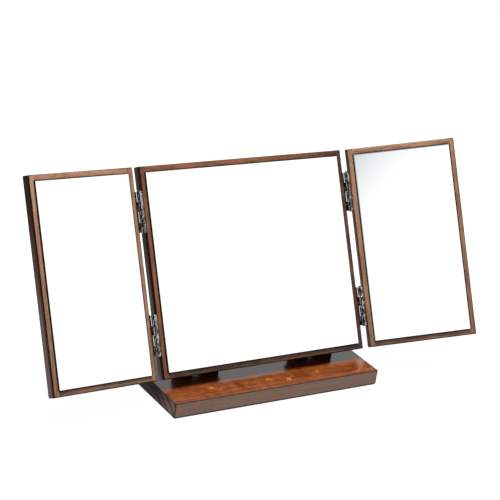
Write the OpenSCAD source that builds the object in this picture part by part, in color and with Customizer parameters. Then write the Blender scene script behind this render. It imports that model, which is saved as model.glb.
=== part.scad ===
// Three-panel dressing table mirror: a wooden slab base carries the centre
// mirror on two friction pivots, and a narrower mirror wing is hung on each
// side of it with two butt hinges.
// Frame: millimetres, +Z up, +X to the viewer's right, -Y towards the viewer.
// The origin is the centre of the base's underside.

/* [Centre panel] */
// Width of the centre panel
centre_w = 298; // [220:1:420]
// Height of all three panels, along the panel
panel_h = 260; // [200:1:360]
// Thickness of all three panels
panel_t = 13; // [12:0.5:18]
// Width of the frame members as seen from the front
frame_w = 7.5; // [7:0.5:16]
// Lean of the centre panel back from upright, in degrees
tilt = 26.7; // [0:0.1:38]

/* [Wings] */
// Width of each wing panel
wing_w = 144.5; // [90:0.5:146]
// Angle of the left wing forward of flat, in degrees
left_open = 5.2; // [0:0.1:90]
// Angle of the right wing forward of flat, in degrees
right_open = 23; // [0:0.1:90]

/* [Mirror glass] */
// Thickness of the silvered glass
glass_t = 3; // [2:0.5:4]
// Height of the glass face above the front of the frame
glass_proud = 2; // [0.5:0.1:2]
// Thickness of the foam tape behind the glass
tape_t = 1; // [0.5:0.1:1.5]

/* [Hinges] */
// Gap between the centre panel and a wing when they lie flat
gap = 8.6; // [8.6:0.1:16]
// Length of a hinge
hinge_len = 50; // [40:1:60]
// Distance from the panel's end to the nearer end of a hinge
hinge_inset = 30; // [20:1:60]
// Outer radius of the hinge barrel
barrel_r = 3.5; // [3:0.1:4]
// Radius of the hinge pin
pin_r = 1.5; // [1.2:0.1:1.8]
// Thickness of a hinge leaf
leaf_t = 1.2; // [1:0.1:1.5]
// Distance of the hinge axis in front of the frame's front face
axis_fwd = 2.3; // [2.3:0.1:2.6]

/* [Base] */
// Width of the base
base_w = 300; // [280:1:420]
// Depth of the base, front to back
base_d = 130; // [110:1:200]
// Height of the base with its felt
base_h = 20.5; // [16:0.5:30]
// Thickness of the felt under the base
felt_t = 1.5; // [1:0.1:2]

/* [Tilt supports] */
// Distance from the middle of the base to the middle of each support
support_x = 86; // [60:1:105]
// Thickness of each ear, across the base
ear_w = 14.5; // [12:0.5:20]
// Room between the two ears of a support
ear_room = 24; // [24:1:34]
// Radius of the ears' rounded top
ear_r = 12; // [10:0.5:12]
// Radius of the pivot bolt
bolt_r = 3; // [2.5:0.1:3.5]
// Height of the pivot above the top of the base
pivot_above = 14.2; // [14.2:0.1:20]

/* [Hidden] */
$fn = 48;
e = 0.01;
pivot_z = base_h + pivot_above;      // pivot height above the floor
pivot_back = 13;                     // pivot behind the panel's back face
pivot_up = 13;                       // pivot above the panel's lower edge
ease_w = 1.2;                        // width of the eased front edges
ease_d = 0.6;                        // depth of the eased front edges
back_ease = 0.6;                     // chamfer of the outer back edges
fit = 0.05;                          // radial running clearance
kn = 4;                              // knuckles in a hinge
kn_gap = 0.3;                        // end play between knuckles
leaf_d = 11;                         // width of a leaf, along the panel's thickness
leaf_y = barrel_r - leaf_t;          // leaf's front edge behind the hinge axis
hs_r = 1.1;                          // hinge screw, shank radius
hs_len = 6;                          // hinge screw, length in the wood
hs_pitch = 17;                       // spacing of the three screws in a leaf
hs_y = leaf_y + 6.4;                 // screws behind the hinge axis
glass_y = -glass_proud;               // glass face, in the panel's thickness
board_t = panel_t - glass_y - glass_t - tape_t;
glass_clear = 0.3;
washer_t = 1;                        // friction washer
big_washer_t = 1.2;                  // washer under head and nut
tongue_w = ear_room - 2*washer_t;
tongue_pad = 8;                      // tongue's thickness on the panel
tongue_top = 62;                     // tongue's top above the panel's lower edge
ts_z = [34, 51];                     // tongue screws above the lower edge
support_w = 2*ear_w + ear_room;
hinge_zc = [panel_h - hinge_inset - hinge_len/2, hinge_inset + hinge_len/2];

wood = [0.42, 0.23, 0.13];
wood_light = [0.62, 0.41, 0.27];
wood_base = [0.58, 0.29, 0.12];
wood_dark = [0.16, 0.09, 0.06];
board_c = [0.30, 0.19, 0.12];
glass_c = [0.88, 0.92, 0.94];
steel_c = [0.80, 0.80, 0.78];
tape_c = [0.92, 0.92, 0.90];
felt_c = [0.10, 0.09, 0.09];

// ---- placing: panel coordinates have x across, y into the thickness from the
// front face, and z up along the panel from its lower edge
module at_centre()
  translate([0, 0, pivot_z]) rotate([-tilt, 0, 0])
    translate([0, -(panel_t + pivot_back), -pivot_up]) children();

// wing coordinates: x runs from the wing's hinge edge to its free edge
module at_left()
  at_centre() translate([-(centre_w + gap)/2, -axis_fwd, 0]) rotate([0, 0, left_open])
    translate([-gap/2, axis_fwd, 0]) mirror([1, 0, 0]) children();
module at_right()
  at_centre() translate([(centre_w + gap)/2, -axis_fwd, 0]) rotate([0, 0, -right_open])
    translate([gap/2, axis_fwd, 0]) children();

// hinge coordinates: origin on the axis at the hinge's middle, +x towards the
// side face that the leaf is screwed to, +y towards the back
module at_hinge_centre(side, zc)
  at_centre() translate([side*(centre_w + gap)/2, -axis_fwd, zc])
    mirror([side > 0 ? 1 : 0, 0, 0]) children();
module in_wing_hinge(zc) translate([-gap/2, -axis_fwd, zc]) children();

// ---- frame members
// member section: outer edge at a = 0, inner edge at a = frame_w, front at b = 0
function member_pts() = [
  [0, ease_d], [ease_w, 0], [frame_w - ease_w, 0], [frame_w, ease_d],
  [frame_w, panel_t], [back_ease, panel_t], [0, panel_t - back_ease]];

// long section of a stile: its two ends are eased at the front and back
function stile_ends() = [
  [ease_d, 0], [0, ease_w], [0, panel_h - ease_w], [ease_d, panel_h],
  [panel_t - back_ease, panel_h], [panel_t, panel_h - back_ease],
  [panel_t, back_ease], [panel_t - back_ease, 0]];

module along_x(len) rotate([90, 0, 90]) linear_extrude(height = len) children();

// stile with its outer edge at x = 0, running the panel's full height
module stile(hinged) difference() {
  intersection() {
    linear_extrude(height = panel_h) polygon(member_pts());
    translate([-1, 0, 0]) along_x(frame_w + 2) polygon(stile_ends());
  }
  if (hinged) for (zc = hinge_zc, s = [-1, 0, 1])
    translate([-e, hs_y - axis_fwd, zc + s*hs_pitch]) rotate([0, 90, 0])
      cylinder(r = hs_r, h = hs_len + e);
}

// bottom rail between the stiles, its outer edge at z = 0
module rail(len) along_x(len) polygon([for (p = member_pts()) [p[1], p[0]]]);

module bottom_rail(w) translate([frame_w, 0, 0]) rail(w - 2*frame_w);
module top_rail(w) translate([frame_w, 0, panel_h]) mirror([0, 0, 1]) rail(w - 2*frame_w);

module back_board(w) translate([frame_w, panel_t - board_t, frame_w])
  cube([w - 2*frame_w, board_t, panel_h - 2*frame_w]);

module mirror_glass(w) translate([frame_w + glass_clear, glass_y, frame_w + glass_clear])
  cube([w - 2*frame_w - 2*glass_clear, glass_t, panel_h - 2*frame_w - 2*glass_clear]);

module mirror_tape(w, n) {
  span = w - 2*frame_w - 40;
  for (i = [0:n-1])
    translate([frame_w + 20 + i*(span - 19)/(n - 1), glass_y + glass_t, frame_w + 12])
      cube([19, tape_t, panel_h - 2*frame_w - 24]);
}

// ---- hinges
module knuckle_span(k) translate([0, 0, hinge_len/2 - (k + 1)*hinge_len/kn + kn_gap/2]) children();

module hinge_leaf(first) difference() {
  union() {
    translate([gap/2 - leaf_t, leaf_y, -hinge_len/2]) cube([leaf_t, leaf_d, hinge_len]);
    for (k = [first:2:kn-1]) knuckle_span(k) {
      cylinder(r = barrel_r, h = hinge_len/kn - kn_gap);
      translate([0, leaf_y, 0]) cube([gap/2 - leaf_t/2, leaf_t, hinge_len/kn - kn_gap]);
    }
  }
  translate([0, 0, -hinge_len/2 - 1]) cylinder(r = pin_r + fit, h = hinge_len + 2);
  for (s = [-1, 0, 1]) translate([gap/2 - leaf_t, hs_y, s*hs_pitch]) rotate([0, 90, 0]) {
    translate([0, 0, -e]) cylinder(r1 = 2.4 + e, r2 = 1.3, h = 1.1 + e);
    cylinder(r = 1.3, h = leaf_t + 1);
  }
}

module hinge_pin() {
  translate([0, 0, -hinge_len/2 - 0.5]) cylinder(r = pin_r, h = hinge_len + 1);
  for (s = [0, 1]) mirror([0, 0, s]) translate([0, 0, hinge_len/2 + 0.2]) {
    cylinder(r = 2.7, h = 0.6);
    translate([0, 0, 0.6]) cylinder(r1 = 2.7, r2 = 1.6, h = 0.7);
  }
}

// countersunk screw: its head's flat at z = 0, pointing along +z
module csk_screw(head_r, head_h, shank_r, len, slot) difference() {
  union() {
    cylinder(r1 = head_r, r2 = shank_r, h = head_h);
    cylinder(r = shank_r, h = len - 2*shank_r);
    translate([0, 0, len - 2*shank_r]) cylinder(r1 = shank_r, r2 = 0.2, h = 2*shank_r);
  }
  for (a = [0, 90]) rotate([0, 0, a + 20])
    translate([-slot*2.1, -slot/2, -1]) cube([slot*4.2, slot, 1 + head_h*0.55]);
}

module hinge_screws() for (s = [-1, 0, 1])
  translate([gap/2 - leaf_t + 0.05, hs_y, s*hs_pitch]) rotate([0, 90, 0])
    csk_screw(2.3, 1.1, hs_r, leaf_t + hs_len - 0.25, 0.5);

// ---- tilt supports
// ear outline in y, z
module ear(x) difference() {
  translate([x - ear_w/2, 0, 0]) along_x(ear_w) union() {
    translate([0, pivot_z]) circle(r = ear_r, $fn = 96);
    translate([-ear_r, base_h]) square([2*ear_r, pivot_above]);
  }
  translate([x - ear_w, 0, pivot_z]) rotate([0, 90, 0]) cylinder(r = bolt_r + fit, h = 2*ear_w);
  for (y = [-7.5, 7.5]) translate([x, y, base_h - 1]) cylinder(r = 1.9, h = 10.5);
}
ear_off = (ear_room + ear_w)/2;

module ear_screw_set() for (sx = [-1, 1], o = [-1, 1], y = [-7.5, 7.5])
  translate([sx*support_x + o*ear_off, y, felt_t + 0.3]) csk_screw(3.6, 2.2, 1.9, 27.5, 0.8);

// bolt with its head on the outer side of a support (drawn for +x)
module pivot_bolt() translate([support_x, 0, pivot_z]) rotate([0, -90, 0]) {
  translate([0, 0, -support_w/2 - big_washer_t]) {
    cylinder(r = bolt_r, h = support_w + 2*big_washer_t + 7);
    difference() {
      translate([0, 0, -3.4]) rotate_extrude($fn = 64) intersection() {
        translate([0, 7.2]) circle(r = 7.2, $fn = 96);
        square([6, 3.4]);
      }
      translate([-0.6, -7, -3.5]) cube([1.2, 14, 1.3]);
    }
  }
}

module cap_nut() translate([support_x - support_w/2 - big_washer_t, 0, pivot_z]) rotate([0, -90, 0])
  difference() {
    union() {
      cylinder(r = 5.77, h = 5, $fn = 6);
      translate([0, 0, 5]) intersection() {
        sphere(r = 4.6, $fn = 64);
        translate([-6, -6, -1]) cube([12, 12, 8]);
      }
    }
    translate([0, 0, -1]) cylinder(r = bolt_r, h = 8);
  }

module ring_x(x, r, ri, t) translate([x, 0, pivot_z]) rotate([0, 90, 0]) difference() {
  cylinder(r = r, h = t);
  translate([0, 0, -1]) cylinder(r = ri, h = t + 2);
}

// tongue outline in panel y, z, behind the back face
module tongue(x) difference() {
  translate([x - tongue_w/2, 0, 0]) along_x(tongue_w) union() {
    translate([panel_t + pivot_back, pivot_up]) circle(r = 9.5, $fn = 96);
    polygon([[panel_t, pivot_up - 9.2], [panel_t, tongue_top], [panel_t + 2, tongue_top],
             [panel_t + tongue_pad, tongue_top - 6], [panel_t + tongue_pad, pivot_up + 14],
             [panel_t + pivot_back, pivot_up + 9.2], [panel_t + pivot_back, pivot_up - 9.2]]);
  }
  translate([x - tongue_w, panel_t + pivot_back, pivot_up]) rotate([0, 90, 0])
    cylinder(r = bolt_r + fit, h = 2*tongue_w);
  for (z = ts_z) translate([x, panel_t + tongue_pad, z]) rotate([90, 0, 0]) {
    translate([0, 0, -e]) cylinder(r1 = 3.4 + e, r2 = 1.7, h = 2 + e);
    cylinder(r = 1.7, h = tongue_pad + 1);
  }
}

module tongue_screw_set() for (sx = [-1, 1], z = ts_z)
  translate([sx*support_x, panel_t + tongue_pad - 0.1, z]) rotate([90, 0, 0])
    csk_screw(3.3, 1.9, 1.6, 14, 0.7);

// ---- base
module base_board_shape() difference() {
  intersection() {
    translate([-base_w/2, 0, 0]) along_x(base_w)
      polygon([[-base_d/2, felt_t], [base_d/2, felt_t], [base_d/2, base_h - 1],
               [base_d/2 - 1, base_h], [1 - base_d/2, base_h], [-base_d/2, base_h - 1]]);
    rotate([90, 0, 0]) translate([0, 0, -base_d/2]) linear_extrude(height = base_d)
      polygon([[-base_w/2, felt_t], [base_w/2, felt_t], [base_w/2, base_h - 1],
               [base_w/2 - 1, base_h], [1 - base_w/2, base_h], [-base_w/2, base_h - 1]]);
  }
  for (sx = [-1, 1], o = [-1, 1], y = [-7.5, 7.5])
    translate([sx*support_x + o*ear_off, y, felt_t]) {
      translate([0, 0, -e]) cylinder(r1 = 3.9 + e, r2 = 2, h = 2.4 + e);
      cylinder(r = 2, h = base_h);
    }
}

// ---- nodes
module base_board() color(wood_base) base_board_shape();
module base_felt() color(felt_c) translate([1 - base_w/2, 1 - base_d/2, 0]) cube([base_w - 2, base_d - 2, felt_t]);
module left_outer_ear() color(wood_dark) ear(-support_x - ear_off);
module left_inner_ear() color(wood_dark) ear(-support_x + ear_off);
module right_inner_ear() color(wood_dark) ear(support_x - ear_off);
module right_outer_ear() color(wood_dark) ear(support_x + ear_off);
module ear_screws() color(steel_c) ear_screw_set();
module left_pivot_bolt() color(steel_c) mirror([1, 0, 0]) pivot_bolt();
module right_pivot_bolt() color(steel_c) pivot_bolt();
module left_cap_nut() color(steel_c) mirror([1, 0, 0]) cap_nut();
module right_cap_nut() color(steel_c) cap_nut();
module bolt_washers() color(steel_c) for (s = [0, 1]) mirror([s, 0, 0]) {
  ring_x(support_x + support_w/2, 8, bolt_r + fit, big_washer_t);
  ring_x(support_x - support_w/2 - big_washer_t, 8, bolt_r + fit, big_washer_t);
}
module friction_washers() color(felt_c) for (s = [0, 1]) mirror([s, 0, 0]) {
  ring_x(support_x + ear_room/2 - washer_t, 9, bolt_r + fit, washer_t);
  ring_x(support_x - ear_room/2, 9, bolt_r + fit, washer_t);
}

module centre_left_stile() color(wood) at_centre() translate([-centre_w/2, 0, 0]) stile(true);
module centre_right_stile() color(wood) at_centre() translate([centre_w/2, 0, 0]) mirror([1, 0, 0]) stile(true);
module centre_top_rail() color(wood) at_centre() translate([-centre_w/2, 0, 0]) top_rail(centre_w);
module centre_bottom_rail() color(wood) at_centre() translate([-centre_w/2, 0, 0]) bottom_rail(centre_w);
module centre_back_board() color(board_c) at_centre() difference() {
  translate([-centre_w/2, 0, 0]) back_board(centre_w);
  for (sx = [-1, 1], z = ts_z) translate([sx*support_x, panel_t + 1, z]) rotate([90, 0, 0])
    cylinder(r = 1.6, h = 7.5);
}
module centre_mirror_tape() color(tape_c) at_centre() translate([-centre_w/2, 0, 0]) mirror_tape(centre_w, 5);
module centre_mirror_glass() color(glass_c) at_centre() translate([-centre_w/2, 0, 0]) mirror_glass(centre_w);
module left_tongue() color(wood_dark) at_centre() tongue(-support_x);
module right_tongue() color(wood_dark) at_centre() tongue(support_x);
module tongue_screws() color(steel_c) at_centre() tongue_screw_set();

// the centre leaves have the first and third knuckles from the top on the left
// side, and the second and fourth on the right side
module left_upper_hinge_centre_leaf() color(steel_c) at_hinge_centre(-1, hinge_zc[0]) hinge_leaf(0);
module left_lower_hinge_centre_leaf() color(steel_c) at_hinge_centre(-1, hinge_zc[1]) hinge_leaf(0);
module right_upper_hinge_centre_leaf() color(steel_c) at_hinge_centre(1, hinge_zc[0]) hinge_leaf(1);
module right_lower_hinge_centre_leaf() color(steel_c) at_hinge_centre(1, hinge_zc[1]) hinge_leaf(1);
module left_hinge_pins() color(steel_c) for (z = hinge_zc) at_hinge_centre(-1, z) hinge_pin();
module right_hinge_pins() color(steel_c) for (z = hinge_zc) at_hinge_centre(1, z) hinge_pin();
module centre_hinge_screws() color(steel_c) for (s = [-1, 1], z = hinge_zc) at_hinge_centre(s, z) hinge_screws();

module wing_hinge_stile() color(wood_light) stile(true);
module wing_free_stile() color(wood_light) translate([wing_w, 0, 0]) mirror([1, 0, 0]) stile(false);
module wing_top_rail() color(wood_light) top_rail(wing_w);
module wing_bottom_rail() color(wood_light) bottom_rail(wing_w);
module wing_back_board() color(board_c) back_board(wing_w);
module wing_mirror_tape() color(tape_c) mirror_tape(wing_w, 3);
module wing_mirror_glass() color(glass_c) mirror_glass(wing_w);
module wing_leaf(i, first) color(steel_c) in_wing_hinge(hinge_zc[i]) hinge_leaf(first);
module wing_hinge_screws() color(steel_c) for (z = hinge_zc) in_wing_hinge(z) hinge_screws();

module left_wing_hinge_stile() at_left() wing_hinge_stile();
module left_wing_free_stile() at_left() wing_free_stile();
module left_wing_top_rail() at_left() wing_top_rail();
module left_wing_bottom_rail() at_left() wing_bottom_rail();
module left_wing_back_board() at_left() wing_back_board();
module left_wing_mirror_tape() at_left() wing_mirror_tape();
module left_wing_mirror_glass() at_left() wing_mirror_glass();
module left_upper_hinge_wing_leaf() at_left() wing_leaf(0, 1);
module left_lower_hinge_wing_leaf() at_left() wing_leaf(1, 1);
module left_wing_hinge_screws() at_left() wing_hinge_screws();

module right_wing_hinge_stile() at_right() wing_hinge_stile();
module right_wing_free_stile() at_right() wing_free_stile();
module right_wing_top_rail() at_right() wing_top_rail();
module right_wing_bottom_rail() at_right() wing_bottom_rail();
module right_wing_back_board() at_right() wing_back_board();
module right_wing_mirror_tape() at_right() wing_mirror_tape();
module right_wing_mirror_glass() at_right() wing_mirror_glass();
module right_upper_hinge_wing_leaf() at_right() wing_leaf(0, 0);
module right_lower_hinge_wing_leaf() at_right() wing_leaf(1, 0);
module right_wing_hinge_screws() at_right() wing_hinge_screws();

base_board();
base_felt();
left_outer_ear();
left_inner_ear();
right_inner_ear();
right_outer_ear();
ear_screws();
left_pivot_bolt();
right_pivot_bolt();
left_cap_nut();
right_cap_nut();
bolt_washers();
friction_washers();
centre_left_stile();
centre_right_stile();
centre_top_rail();
centre_bottom_rail();
centre_back_board();
centre_mirror_tape();
centre_mirror_glass();
left_tongue();
right_tongue();
tongue_screws();
left_upper_hinge_centre_leaf();
left_lower_hinge_centre_leaf();
right_upper_hinge_centre_leaf();
right_lower_hinge_centre_leaf();
left_hinge_pins();
right_hinge_pins();
centre_hinge_screws();
left_wing_hinge_stile();
left_wing_free_stile();
left_wing_top_rail();
left_wing_bottom_rail();
left_wing_back_board();
left_wing_mirror_tape();
left_wing_mirror_glass();
left_upper_hinge_wing_leaf();
left_lower_hinge_wing_leaf();
left_wing_hinge_screws();
right_wing_hinge_stile();
right_wing_free_stile();
right_wing_top_rail();
right_wing_bottom_rail();
right_wing_back_board();
right_wing_mirror_tape();
right_wing_mirror_glass();
right_upper_hinge_wing_leaf();
right_lower_hinge_wing_leaf();
right_wing_hinge_screws();
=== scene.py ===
import bpy, bmesh, math
from mathutils import Matrix, Vector


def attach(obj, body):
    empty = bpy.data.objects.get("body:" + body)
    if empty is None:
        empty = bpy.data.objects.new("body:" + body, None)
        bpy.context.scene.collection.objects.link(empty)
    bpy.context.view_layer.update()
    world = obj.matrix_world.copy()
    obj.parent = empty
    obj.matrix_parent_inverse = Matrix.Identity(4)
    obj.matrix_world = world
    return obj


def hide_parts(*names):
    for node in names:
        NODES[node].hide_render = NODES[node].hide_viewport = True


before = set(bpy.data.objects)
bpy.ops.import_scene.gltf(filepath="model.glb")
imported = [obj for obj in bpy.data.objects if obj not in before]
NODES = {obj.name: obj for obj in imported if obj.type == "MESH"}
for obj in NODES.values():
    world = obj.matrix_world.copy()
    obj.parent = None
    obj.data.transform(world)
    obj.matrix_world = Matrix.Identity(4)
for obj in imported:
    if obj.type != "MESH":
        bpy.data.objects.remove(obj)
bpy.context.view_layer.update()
scene = bpy.context.scene

# ------------------------------------------------------------------ sizes, in metres, as in the CAD
MM = 0.001
CW, PH, T, FW = 298*MM, 260*MM, 13*MM, 7.5*MM
WW, GAP, AF = 144.5*MM, 8.6*MM, 2.3*MM
TILT, L_OPEN, R_OPEN = math.radians(26.7), math.radians(5.2), math.radians(23.0)
PIVOT_Z, PIVOT_BACK, PIVOT_UP = 34.7*MM, 13*MM, 13*MM
GLASS_Y, GLASS_T, TAPE_T = -2*MM, 3*MM, 1*MM
BASE_W, BASE_D, BASE_H, FELT_T = 300*MM, 130*MM, 20.5*MM, 1.5*MM
EASE_W, EASE_D, BACK_EASE = 1.2*MM, 0.6*MM, 0.6*MM

M_C = Matrix.Translation((0, 0, PIVOT_Z)) @ Matrix.Rotation(-TILT, 4, "X") @ Matrix.Translation((0, -(T + PIVOT_BACK), -PIVOT_UP))


def wing_matrix(s, a):
    return (M_C @ Matrix.Translation((s*(CW + GAP)/2, -AF, 0)) @ Matrix.Rotation(-s*a, 4, "Z")
            @ Matrix.Translation((s*GAP/2, AF, 0)))


M_L, M_R = wing_matrix(-1, L_OPEN), wing_matrix(1, R_OPEN)
I4 = Matrix.Identity(4)

# ------------------------------------------------------------------ camera, at the photograph's angle
F_PX = 1701.58
AZ, EL, ROLL = math.radians(34.584), math.radians(22.387), math.radians(8.053)
CAM_POS = Vector((-1.12514, -1.58830, 0.97615))


def make_camera():
    fwd = Vector((math.sin(AZ)*math.cos(EL), math.cos(AZ)*math.cos(EL), -math.sin(EL)))
    r = Vector((math.cos(AZ), -math.sin(AZ), 0))
    up = r.cross(fwd)
    c, s = math.cos(ROLL), math.sin(ROLL)
    x, y, z = c*r + s*up, -s*r + c*up, -fwd
    m = Matrix.Identity(4)
    for i in range(3):
        m[i][0], m[i][1], m[i][2], m[i][3] = x[i], y[i], z[i], CAM_POS[i]
    cam = bpy.data.cameras.new("camera")
    cam.sensor_width = 36
    cam.sensor_fit = "HORIZONTAL"
    cam.lens = F_PX/500*36
    cam.clip_start, cam.clip_end = 0.05, 50
    o = bpy.data.objects.new("camera", cam)
    o.matrix_world = m
    scene.collection.objects.link(o)
    scene.camera = o


make_camera()


# ------------------------------------------------------------------ node helpers
class Mat:
    """A small builder for node materials."""

    def __init__(self, name):
        self.m = bpy.data.materials.new(name)
        self.m.use_nodes = True
        self.t = self.m.node_tree
        self.n = self.t.nodes
        self.bsdf = self.n["Principled BSDF"]
        self.out = self.n["Material Output"]

    def link(self, a, b):
        self.t.links.new(a, b)

    def put(self, socket, v):
        if isinstance(v, bpy.types.NodeSocket):
            self.link(v, socket)
        else:
            socket.default_value = v

    def attr(self, name, out="Fac"):
        n = self.n.new("ShaderNodeAttribute")
        n.attribute_type = "GEOMETRY"
        n.attribute_name = name
        return n.outputs[out]

    def obj(self):
        return self.n.new("ShaderNodeTexCoord").outputs["Object"]

    def scale(self, v, s, off=(0, 0, 0)):
        n = self.n.new("ShaderNodeMapping")
        n.inputs["Scale"].default_value = s
        n.inputs["Location"].default_value = off
        self.link(v, n.inputs["Vector"])
        return n.outputs["Vector"]

    def noise(self, v, scale=1.0, detail=3.0, rough=0.5, dist=0.0, out="Fac"):
        n = self.n.new("ShaderNodeTexNoise")
        n.inputs["Scale"].default_value = scale
        n.inputs["Detail"].default_value = detail
        n.inputs["Roughness"].default_value = rough
        n.inputs["Distortion"].default_value = dist
        self.link(v, n.inputs["Vector"])
        return n.outputs[out]

    def voronoi(self, v, scale=1.0, out="Distance", feature="F1"):
        n = self.n.new("ShaderNodeTexVoronoi")
        n.feature = feature
        n.inputs["Scale"].default_value = scale
        self.link(v, n.inputs["Vector"])
        return n.outputs[out]

    def math(self, op, a, b=0.0, clamp=False):
        n = self.n.new("ShaderNodeMath")
        n.operation = op
        n.use_clamp = clamp
        self.put(n.inputs[0], a)
        self.put(n.inputs[1], b)
        return n.outputs[0]

    def vmath(self, op, a, b):
        n = self.n.new("ShaderNodeVectorMath")
        n.operation = op
        self.put(n.inputs[0], a)
        self.put(n.inputs[1], b)
        return n.outputs[0]

    def remap(self, v, a, b, c=0.0, d=1.0, smooth=True):
        n = self.n.new("ShaderNodeMapRange")
        n.interpolation_type = "SMOOTHSTEP" if smooth else "LINEAR"
        self.put(n.inputs["Value"], v)
        for k, x in (("From Min", a), ("From Max", b), ("To Min", c), ("To Max", d)):
            n.inputs[k].default_value = x
        return n.outputs["Result"]

    def mix(self, f, a, b, blend="MIX"):
        n = self.n.new("ShaderNodeMix")
        n.data_type = "RGBA"
        n.blend_type = blend
        n.clamp_factor = True
        self.put(n.inputs[0], f)
        self.put(n.inputs[6], a if isinstance(a, bpy.types.NodeSocket) else (*a, 1)[:4])
        self.put(n.inputs[7], b if isinstance(b, bpy.types.NodeSocket) else (*b, 1)[:4])
        return n.outputs[2]

    def sep(self, v):
        n = self.n.new("ShaderNodeSeparateXYZ")
        self.link(v, n.inputs[0])
        return n.outputs

    def comb(self, x, y, z):
        n = self.n.new("ShaderNodeCombineXYZ")
        for i, v in enumerate((x, y, z)):
            self.put(n.inputs[i], v)
        return n.outputs[0]

    def bump(self, h, strength=0.3, dist=0.0002, normal=None):
        n = self.n.new("ShaderNodeBump")
        n.inputs["Strength"].default_value = strength
        n.inputs["Distance"].default_value = dist
        self.put(n.inputs["Height"], h)
        if normal is not None:
            self.link(normal, n.inputs["Normal"])
        return n.outputs["Normal"]

    def set(self, **kw):
        for k, v in kw.items():
            self.put(self.bsdf.inputs[k.replace("_", " ")], v)
        return self.m


# ------------------------------------------------------------------ materials
def wood_coords(m):
    """The member's own wood coordinates, bent a little, with fine grain, broad grain and pores."""
    co = m.attr("wco", "Vector")
    wob = m.noise(m.scale(co, (14, 60, 60)), 1, 2, 0.5)
    wobble = m.vmath("ADD", co, m.comb(0.0, m.math("MULTIPLY", m.math("SUBTRACT", wob, 0.5), 0.004), m.math("MULTIPLY", m.math("SUBTRACT", wob, 0.5), 0.003)))
    grain = m.noise(m.scale(wobble, (9, 820, 460)), 1, 4, 0.62)
    broad = m.noise(m.scale(co, (22, 150, 120)), 1, 3, 0.55)
    pores = m.remap(m.noise(m.scale(wobble, (95, 3600, 2600)), 1, 3, 0.6), 0.60, 0.74)
    return co, grain, broad, pores


def frame_wood(name, light, dark, rough, spec, coat):
    """The front faces of stained frame wood. Vertex attributes: wco, the wood's own coordinates with x along
    the grain; e_out and e_in, distances to the member's outer and inner edges, along which painted shade darkens
    the front; tone, the member's lightness, partly the wood's own and partly painted light and shade; warm, its own
    warmth."""
    m = Mat(name)
    co, grain, broad, pore = wood_coords(m)
    # the member's lightness: partly the wood's own, partly painted light and shade (top rails lighter, bottom rails
    # darker)
    tone_and_light = m.attr("tone_and_light")
    fig = m.noise(m.scale(co, (85, 420, 420), (5, 2, 7)), 1, 3, 0.6)
    v = m.math("ADD", m.math("MULTIPLY", grain, 0.62), m.math("MULTIPLY", broad, 0.52))
    v = m.math("ADD", v, m.math("MULTIPLY", m.math("SUBTRACT", fig, 0.5), 0.55))
    v = m.math("ADD", m.remap(v, 0.34, 0.82), m.math("MULTIPLY", m.math("SUBTRACT", tone_and_light, 0.5), 1.3), clamp=True)
    col = m.mix(v, dark, light)
    # the stain takes unevenly: rosy patches and yellower ones along the grain
    rosy = m.remap(m.noise(m.scale(co, (48, 170, 170), (3, 1, 2)), 1, 2, 0.5), 0.50, 0.66)
    straw = m.remap(m.noise(m.scale(co, (36, 120, 120), (8, 4, 6)), 1, 2, 0.5), 0.50, 0.68)
    col = m.mix(m.math("MULTIPLY", m.math("MULTIPLY", rosy, m.attr("warm")), 0.9), col, (light[0]*1.06, light[1]*0.80, light[2]*0.92))
    col = m.mix(m.math("MULTIPLY", straw, 0.40), col, (light[0]*0.80, light[1]*0.86, light[2]*0.66))
    col = m.mix(m.math("MULTIPLY", pore, 0.45), col, (dark[0]*0.35, dark[1]*0.33, dark[2]*0.33))
    # painted shade: the wood darkens towards both front edges, along the eased arrises and beside the glass's proud
    # edge
    wig = m.math("MULTIPLY", m.math("SUBTRACT", m.noise(m.scale(co, (120, 900, 900)), 1, 2, 0.5), 0.5), 0.0008)
    d_out = m.math("ADD", m.attr("e_out"), wig)
    d_in = m.math("ADD", m.attr("e_in"), wig)
    edge = m.math("MAXIMUM", m.remap(d_out, 0.0006, 0.0019, 1, 0), m.remap(d_in, 0.0004, 0.0014, 1, 0))
    col = m.mix(m.math("MULTIPLY", edge, 0.55), col, (dark[0]*0.45, dark[1]*0.40, dark[2]*0.42))
    rg = m.math("ADD", m.remap(broad, 0.3, 0.7, rough - 0.05, rough + 0.07, False), m.math("MULTIPLY", pore, 0.12))
    h = m.math("SUBTRACT", m.math("MULTIPLY", grain, 0.5), m.math("MULTIPLY", pore, 1.0))
    m.set(Base_Color=col, Roughness=rg, Specular_IOR_Level=spec, Coat_Weight=coat, Coat_Roughness=0.2, Normal=m.bump(h, 0.28, 0.00012))
    return m.m


def line_wood(name, deep, worn):
    """The dark arrises: near-black painted shade along the frames' eased front edges and beside the glass, and the
    base's dark arrises; rubbed a little paler here and there.
    """
    m = Mat(name)
    co, grain, broad, pore = wood_coords(m)
    col = m.mix(m.remap(grain, 0.3, 0.7), deep, (deep[0]*2.0, deep[1]*1.8, deep[2]*1.7))
    rub = m.remap(m.noise(m.scale(co, (30, 190, 190), (9, 9, 9)), 1, 4, 0.7), 0.56, 0.74)
    near = m.remap(m.attr("e_out"), 0.0001, 0.0010, 1, 0)
    col = m.mix(m.math("MULTIPLY", m.math("MULTIPLY", rub, near), 0.75), col, worn)
    m.set(Base_Color=col, Roughness=m.remap(broad, 0.3, 0.7, 0.40, 0.55, False), Specular_IOR_Level=0.06, Normal=m.bump(grain, 0.25, 0.0001))
    return m.m


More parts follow.
